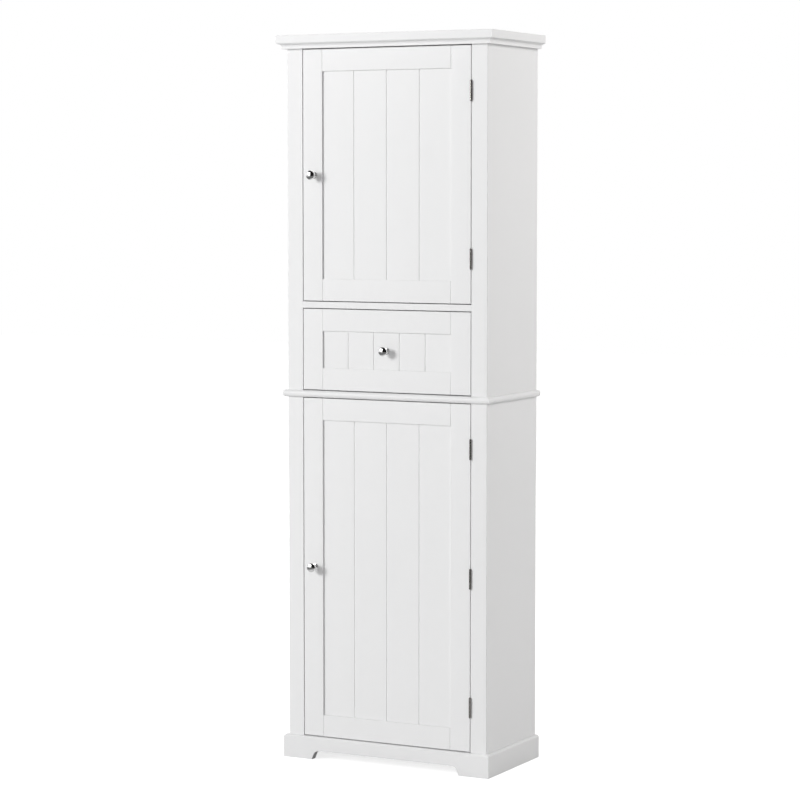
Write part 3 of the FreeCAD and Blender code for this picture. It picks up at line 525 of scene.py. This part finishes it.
def turned_knob(radius, reach):
    """A mushroom knob on a flange, standing on z = 0."""
    neck = 3.8 * MM
    half_head = 5 * MM
    flange = in_mm((7.4, 0), (8, 0.5), (8, 1.1), (7.65, 1.7), (7, 2), (6.2, 2.2))
    cove = [(neck + 2.2 * MM * (1 - math.sin(math.radians(turn))), (2.4 + 5.0 * turn / 90) * MM)
            for turn in range(0, 91, 15)]
    stem = in_mm((3.8, 11), (4.1, 13.4), (4.7, 14.9))
    head = oval(radius, half_head, reach - half_head, start=32, end=172, steps=28)
    return lathe([(0, 0)] + flange + cove + stem + head + [(0, reach)], KNOB_SIDES)


def knob_screw(head_radius, length):
    """The screw behind a knob: a low domed head on top and a shank that ends at z = 0."""
    head = 2.4 * MM
    shank = 1.95 * MM
    profile = [(0, 0), (shank - 0.4 * MM, 0), (shank, 0.5 * MM), (shank, length - head),
               (head_radius - 0.3 * MM, length - head), (head_radius, length - head + 0.3 * MM),
               (head_radius, length - head + 0.9 * MM), (head_radius * 0.8, length - 0.55 * MM),
               (head_radius * 0.5, length - 0.12 * MM), (0, length)]
    recess = cross(width=1.0 * MM, length=4.6 * MM, depth=1.6 * MM, top=length)
    return combine(lathe(profile), recess)


for knob, body in KNOBS.items():
    low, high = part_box(knob)
    middle = (low + high) / 2
    turned = copies(turned_knob(high.x - middle.x, high.y - low.y),
                    [facing((middle.x, high.y, middle.z), (0, -1, 0))])
    new_piece(knob + "_turned", smooth(turned), "polished_chrome", body, knob)
    low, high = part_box(knob + "_screw")
    screw = copies(knob_screw(high.x - middle.x, high.y - low.y),
                   [facing((middle.x, low.y, middle.z), (0, 1, 0), 30)])
    new_piece(knob + "_screw_turned", smooth(screw), "brushed_nickel", body, knob + "_screw")


# ---------------------------------------------------------------- fittings inside

def cam_lock(radius, depth):
    """A cast cam in its hole: a rim round a crossed face below z = 0, and a hollow for a bolt."""
    face = -0.5 * MM
    rim = radius - 1.1 * MM
    profile = [(0, face), (rim - 0.5 * MM, face), (rim, 0), (radius - 0.3 * MM, 0),
               (radius, -0.3 * MM), (radius, -depth), (0, -depth)]
    recess = cross(width=2.0 * MM, length=8.6 * MM, depth=3.2 * MM)
    bolt_way = block((-3 * MM, 2 * MM, 0.6 * MM - depth), (3 * MM, radius * 1.5, -3 * MM))
    return combine(combine(lathe(profile, 64), recess), bolt_way)


def cam_places(boxes):
    """Where the cams face the inside of the cabinet, each turned a little differently."""
    for i, (low, high) in enumerate(boxes):
        face, inwards = (high.x, 1) if high.x < 0 else (low.x, -1)
        yield facing((face, (low.y + high.y) / 2, (low.z + high.z) / 2), (inwards, 0, 0),
                     25 * (i % 5))


cam_boxes = solids_in("cam_locks")
low, high = cam_boxes[0]
cam = cam_lock(radius=(high.z - low.z) / 2, depth=high.x - low.x)
new_piece("cam_lock_set", copies(cam, cam_places(cam_boxes)), "zinc_steel", "cabinet", "cam_locks")

CATCH_SCREW = round_screw(radius=2.6 * MM, height=1.4 * MM, length=10 * MM)
EAR = 8 * MM
EAR_HEIGHT = 3 * MM
EAR_SCREW_INSET = 3.8 * MM


def catch_housing(low, high):
    """A moulded catch: a block for the magnet between two screwed ears."""
    core = block((low.x + EAR, low.y, low.z), (high.x - EAR, high.y, high.z), 1.0 * MM, 3)
    ears = block((low.x, low.y + 3 * MM, high.z - EAR_HEIGHT),
                 (high.x, high.y - 2 * MM, high.z), 0.8 * MM, 3)
    return [(combine(core, ears, "UNION"), Matrix())]


def pole_plates(low, high):
    """Two steel strips that show at the catch's front, and meet the strike plate."""
    middle = (low + high) / 2
    half_width, half_height, stand_out, depth = 10.5 * MM, 0.8 * MM, 0.15 * MM, 6 * MM
    for z in (middle.z - 3.2 * MM, middle.z + 3.2 * MM):
        yield block((middle.x - half_width, low.y - stand_out, z - half_height),
                    (middle.x + half_width, low.y + depth, z + half_height), 0.2 * MM), Matrix()


def ear_screws(low, high):
    """The screws under a catch's two ears."""
    for x, turn in ((low.x + EAR_SCREW_INSET, 15), (high.x - EAR_SCREW_INSET, 50)):
        yield CATCH_SCREW, facing((x, (low.y + high.y) / 2, high.z - EAR_HEIGHT), (0, 0, -1), turn)


catch_boxes = solids_in("magnetic_catches")
for name, slot, parts, replaced in (
        ("catch_housings", "white_plastic", catch_housing, ["magnetic_catches"]),
        ("catch_pole_plates", "zinc_steel", pole_plates, []),
        ("catch_screws", "zinc_steel", ear_screws, [])):
    mesh = assemble([part for corners in catch_boxes for part in parts(*corners)])
    new_piece(name, mesh, slot, "cabinet", *replaced)


def strike_plate(low, high):
    """A thin steel plate with two countersunk holes, and the screws in them."""
    sink = lathe(in_mm((0, 0.3), (2.4, 0.3), (2.1, 0), (1.3, -2), (0, -2)), SCREW_SIDES)
    screw = flat_screw(radius=2.0 * MM, depth=1.0 * MM, length=12 * MM)
    spacing = 18 * MM
    sunk = Vector((0, 0.1 * MM, 0))
    middle = (low + high) / 2
    spots = [(Vector((middle.x + side * spacing / 2, high.y, middle.z)), turn)
             for side, turn in ((-1, 10), (1, 40))]
    sinks = copies(sink, [facing(spot, (0, 1, 0)) for spot, turn in spots])
    plate = combine(block(low, high, 0.25 * MM), sinks)
    return assemble([(plate, Matrix())] + [(screw, facing(spot - sunk, (0, 1, 0), turn))
                                           for spot, turn in spots])


for door in DOORS:
    strike = door + "_strike_plate"
    new_piece(strike + "_screwed", strike_plate(*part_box(strike)), "zinc_steel", door, strike)

BRACKET_SCREW = round_screw(radius=3.2 * MM, height=1.8 * MM, length=12 * MM)
BRACKET_SCREW_SPACING = 22 * MM
BRACKET_SCREW_SETBACK = 13 * MM
BRACKET_METAL = 1.5 * MM

low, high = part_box("wall_bracket")
new_piece("bracket_screws", copies(BRACKET_SCREW, [
    facing((side * BRACKET_SCREW_SPACING / 2, low.y + BRACKET_SCREW_SETBACK,
            high.z - BRACKET_METAL), (0, 0, -1), 30 * side)
    for side in (-1, 1)]), "zinc_steel", "cabinet")


# ---------------------------------------------------------------- drawer runners

RUNNER_SCREW = round_screw(radius=3.0 * MM, height=1.5 * MM, length=9 * MM)
RUNNER_METAL = 1.2 * MM
RAIL_SCREWS_ALONG = (0.08, 0.45, 0.92)
CHANNEL_SCREWS_ALONG = (0.8, 0.93)


def runner_screws(node, towards_middle, places_along):
    """Screws through the webs of both strips in a node, at shares of their length."""
    places = []
    for low, high in solids_in(node):
        side = 1 if low.x > 0 else -1
        inner, outer = (low.x, high.x) if side > 0 else (high.x, low.x)
        if towards_middle:
            web, head = inner + side * RUNNER_METAL, side
        else:
            web, head = outer - side * RUNNER_METAL, -side
        for i, share in enumerate(places_along):
            point = (web, low.y + share * (high.y - low.y), (low.z + high.z) / 2)
            places.append(facing(point, (head, 0, 0), 40 * i))
    return copies(RUNNER_SCREW, places)


new_piece("runner_rail_screws", runner_screws("runner_rails", True, RAIL_SCREWS_ALONG),
          "zinc_steel", "drawer")
new_piece("runner_channel_screws",
          runner_screws("runner_channels", False, CHANNEL_SCREWS_ALONG), "zinc_steel", "cabinet")


# ---------------------------------------------------------------- nails in the back

NAIL_SIDES = 20
NAIL_INSET = 4 * MM
NAIL_PITCH = 105 * MM
NAIL = lathe(in_mm((0, -0.1), (1.015, -0.12), (1.45, -0.3), (1.45, -0.55), (0.6, -0.6),
                   (0.6, -11), (0, -12)), NAIL_SIDES)
PUNCH = lathe(in_mm((0, -0.5), (1.36, -0.5), (1.7, 0), (1.87, 0.5), (0, 0.5)), NAIL_SIDES)


def nail_places(low, high):
    """Where nails go round the edge of a back panel, at an even pitch."""
    across = round((high.x - low.x) / NAIL_PITCH)
    up = round((high.z - low.z) / NAIL_PITCH)
    spots = set()
    for i in range(across + 1):
        x = low.x + NAIL_INSET + (high.x - low.x - 2 * NAIL_INSET) * i / across
        spots |= {(x, low.z + NAIL_INSET), (x, high.z - NAIL_INSET)}
    for i in range(1, up):
        z = low.z + NAIL_INSET + (high.z - low.z - 2 * NAIL_INSET) * i / up
        spots |= {(low.x + NAIL_INSET, z), (high.x - NAIL_INSET, z)}
    return [facing((x, high.y, z), (0, 1, 0)) for x, z in sorted(spots)]


nail_spots = []
for panel in ("upper_back_panel", "lower_back_panel"):
    spots = nail_places(*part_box(panel))
    nail_spots += spots
    pressed = combine(nodes[panel].data.copy(), copies(PUNCH, spots))
    new_piece(panel + "_nailed", pressed, "back_board", "cabinet", panel)
new_piece("back_nails", copies(NAIL, nail_spots), "zinc_steel", "cabinet")


# ---------------------------------------------------------------- camera, light and background

CAMERA_FROM_CORNER = Vector((3.1704, -5.4527, 0))
CAMERA_HEIGHT = 1.3357
CAMERA_TURN = (85.5828, 0.0, 27.7869)
LENS = 120.83
SENSOR = 36.0
FAR_CLIP = 100.0


def add_camera():
    """The camera, set out from the cabinet's front left corner."""
    camera = bpy.data.objects.new("camera", bpy.data.cameras.new("camera"))
    bpy.context.scene.collection.objects.link(camera)
    spot = CAMERA_FROM_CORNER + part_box("upper_post_left")[0]
    camera.location = (spot.x, spot.y, CAMERA_HEIGHT)
    camera.rotation_euler = [math.radians(turn) for turn in CAMERA_TURN]
    camera.data.lens = LENS
    camera.data.sensor_width = SENSOR
    camera.data.clip_end = FAR_CLIP
    bpy.context.scene.camera = camera


# Each lamp's place, size, power and warmth, and whether it leaves a glint of its own.
LAMPS = {
    "key": ((-5.0, -6.9, 3.4), 3.0, 500.0, 0.0, True),
    "fill": ((2.8, 0.9, 2.55), 1.4, 46.0, 0.015, False),
    "back": ((-2.4, 5.6, 2.6), 2.4, 190.0, 0.0, False),
    "top": ((0.0, 0.02, 3.6), 0.3, 6.0, 0.0, False),
}


def add_lamps():
    """Soft square lamps that look at the cabinet's middle."""
    middle = (cad_low + cad_high) / 2
    for name, (place, size, power, warmth, mirrored) in LAMPS.items():
        light = bpy.data.lights.new(name, "AREA")
        light.shape = "SQUARE"
        light.size = size
        light.energy = power
        light.color = grey(1.0, warmth)[:3]
        thing = bpy.data.objects.new(name, light)
        bpy.context.scene.collection.objects.link(thing)
        thing.matrix_world = Matrix.Translation(place) @ (
            Vector(place) - middle).to_track_quat("Z", "Y").to_matrix().to_4x4()
        thing.visible_glossy = mirrored


EVEN_LIGHT = 0.40
EVEN_COLOUR = (0.99, 0.992, 1.0, 1.0)
WHITE = (1.0, 1.0, 1.0, 1.0)


def add_surroundings():
    """White to the eye and in metal and glass, and a plain even light on everything else."""
    world = bpy.data.worlds.new("studio")
    bpy.context.scene.world = world
    studio = Finish(world)
    seen, glossy, through = (studio.add("LightPath", out=ray) for ray in (
        "Is Camera Ray", "Is Glossy Ray", "Is Transmission Ray"))
    shown = seen.calculate("MAXIMUM", glossy).calculate("MAXIMUM", through)
    even = studio.add("Background", None, {"Color": EVEN_COLOUR, "Strength": EVEN_LIGHT})
    white = studio.add("Background", None, {"Color": WHITE, "Strength": 1.0})
    mixed = studio.add("MixShader", None, {0: shown, 1: even, 2: white})
    studio.add("OutputWorld", None, {"Surface": mixed})


FLOOR_HALF = 15.0
FLOOR_GLOW = 0.8


def add_floor():
    """A wide pale floor that looks white, and still shows the cabinet's shadow."""
    finish = new_finish("studio_floor")
    seen = finish.add("LightPath", out="Is Camera Ray")
    mottle = finish.noise(scale=2.0) * 0.02
    pale = finish.add("BsdfDiffuse", None, {"Color": finish.blend(mottle, grey(0.62), grey(0.66))})
    glow = finish.add("Emission", None, {"Color": WHITE, "Strength": seen * FLOOR_GLOW})
    lit = finish.add("AddShader", None, {0: pale, 1: glow})
    finish.add("OutputMaterial", None, {"Surface": lit})
    mesh = bpy.data.meshes.new("floor")
    corners = [(x * FLOOR_HALF, y * FLOOR_HALF, 0) for x, y in ((-1, -1), (1, -1), (1, 1), (-1, 1))]
    mesh.from_pydata(corners, [], [(0, 1, 2, 3)])
    mesh.materials.append(finish.owner)
    floor = bpy.data.objects.new("floor", mesh)
    bpy.context.scene.collection.objects.link(floor)
    floor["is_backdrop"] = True


# Flags are dim glowing sheets that only reflections show. The near-black ones paint a dark
# reflection of the unlit studio to the right and overhead, and the grey one paints a reflection of
# the dimly lit floor. Turns are degrees from the front towards the right, and rises are degrees
# above the cabinet's middle.
FLAG_SHADES = {"painted_dark_reflection": 0.01, "painted_grey_reflection": 0.16}
FLAG_REACH = 7.0
FLAG_MIDDLE = 0.9
FLAG_STEPS = 24
SIDE_TURNS = (-16.0, 112.0)
SIDE_RISES = (-8.0, 38.0)
ROOF_TURNS = (0.0, 360.0)
ROOF_RISES = (38.0, 89.0)
RISE_STEPS = 5
GROUND_TURNS = (-130.0, 112.0)
GROUND_START = 1.2
GROUND_HEIGHT = 0.004


def reflection_glow_finish(name, shade):
    """A dim glow of one shade with a faint weave, which paints a dark reflection."""
    finish = new_finish(name)
    colour = finish.blend(finish.noise(scale=300.0), grey(shade), grey(shade * 1.2))
    # The sheet's shade is emitted, not lit: painted shade that shows only in reflections.
    finish.add("OutputMaterial", None, {"Surface": finish.add("Emission", None, {"Color": colour})})
    return finish.owner


def between(first, last, steps):
    """Even steps in radians from one angle in degrees to another."""
    return [math.radians(first + (last - first) * i / steps) for i in range(steps + 1)]


def add_painted_reflection_flags():
    """Painted dark reflections for the metal: near-black sheets to the right and overhead, and a
    dim grey sheet on the floor, which glow faintly and show only in reflections.
    """
    form = bmesh.new()

    def dome(rises):
        return [(FLAG_REACH * math.cos(rise), FLAG_REACH * math.sin(rise) + FLAG_MIDDLE)
                for rise in between(*rises, RISE_STEPS)]

    ground = [(GROUND_START, GROUND_HEIGHT), (FLAG_REACH, GROUND_HEIGHT)]
    for turns, rings, reflection_slot in ((SIDE_TURNS, dome(SIDE_RISES), 0),
                                (ROOF_TURNS, dome(ROOF_RISES), 0),
                                (GROUND_TURNS, ground, 1)):
        grid = [[form.verts.new((reach * math.sin(turn), -reach * math.cos(turn), height))
                 for turn in between(*turns, FLAG_STEPS)] for reach, height in rings]
        for lower, upper in zip(grid, grid[1:]):
            for i in range(FLAG_STEPS):
                face = form.faces.new((lower[i], lower[i + 1], upper[i + 1], upper[i]))
                face.material_index = reflection_slot
    mesh = to_mesh(form)
    # The black shade paints the unlit studio and the grey shade paints the dimly lit floor, as the
    # metal reflects them.
    for name, shade in FLAG_SHADES.items():
        mesh.materials.append(reflection_glow_finish(name, shade))
    flags = bpy.data.objects.new("painted_reflection_flags", mesh)
    bpy.context.scene.collection.objects.link(flags)
    # Only reflections see these sheets, so they paint dark reflections and cast no light or shadow.
    for ray in ("camera", "diffuse", "shadow", "transmission", "volume_scatter"):
        setattr(flags, "visible_" + ray, False)
    flags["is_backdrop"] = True


add_camera()
add_surroundings()
add_floor()
add_painted_reflection_flags()
add_lamps()

bpy.context.scene.view_settings.view_transform = "Standard"

low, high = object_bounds()
